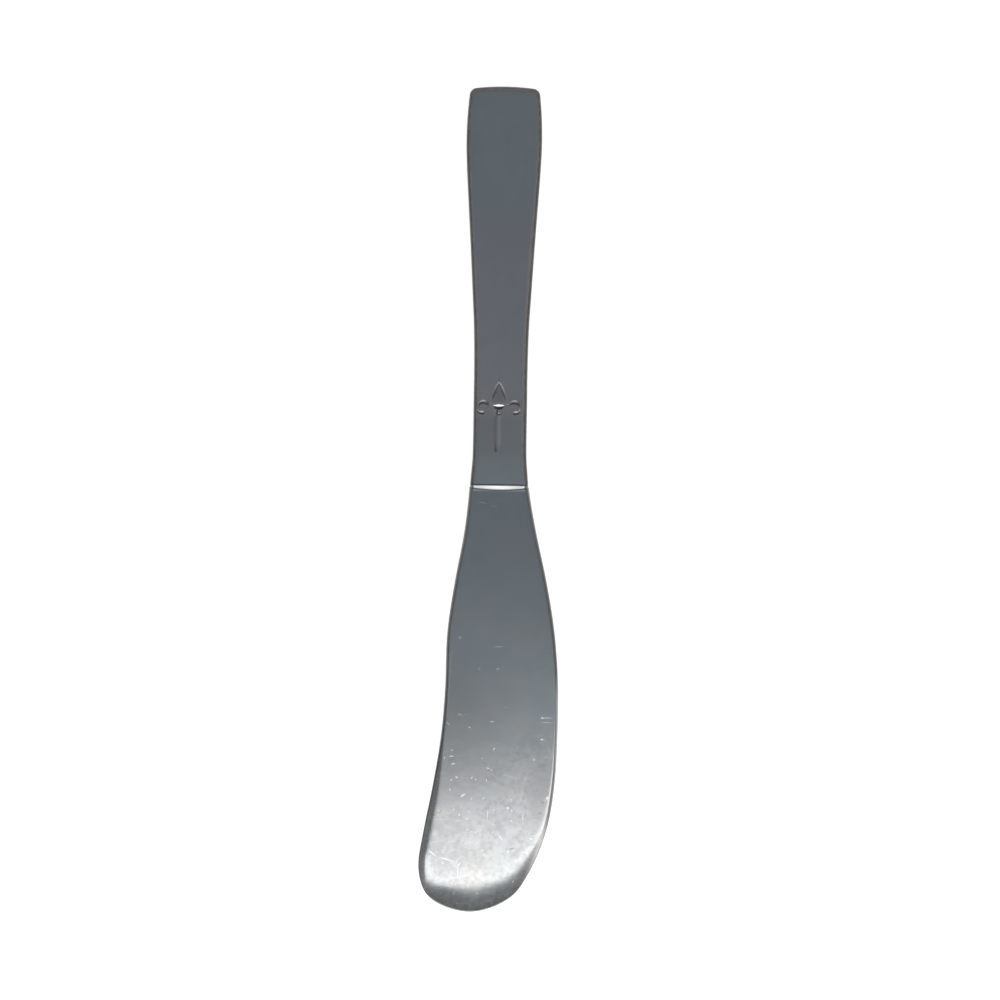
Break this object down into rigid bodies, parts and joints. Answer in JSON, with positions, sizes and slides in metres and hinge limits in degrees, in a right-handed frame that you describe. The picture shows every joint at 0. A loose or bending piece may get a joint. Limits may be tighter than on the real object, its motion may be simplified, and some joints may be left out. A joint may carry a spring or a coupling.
{
  "type": "butter knife",
  "caption": "Butter knife with a broad round-tipped blade, a bevelled bolster and a flat hollow handle that swells towards its butt, with a small pressed lily motif at the neck.",
  "frame": {"origin": "middle of the handle's flat back, on the surface that the knife rests on", "axes": "+Y along the handle towards its butt, -Y towards the blade's tip; +Z out of the front face; +X towards the blade's belly, seen with the front face up and the blade pointing down"},
  "size_m": [0.0275, 0.165, 0.005],
  "materials": {
    "blade_steel": "worn satin polish with fine scratches",
    "handle_steel": "worn satin polish",
    "braze": "as flowed, hidden inside the seam",
    "cement": "matt, hidden inside the handle"
  },
  "bodies": {
    "root": {"blade": "blade_steel", "front_shell": "handle_steel", "back_shell": "handle_steel", "seam_braze": "braze", "tang_cement": "cement"}
  },
  "joints": []
}
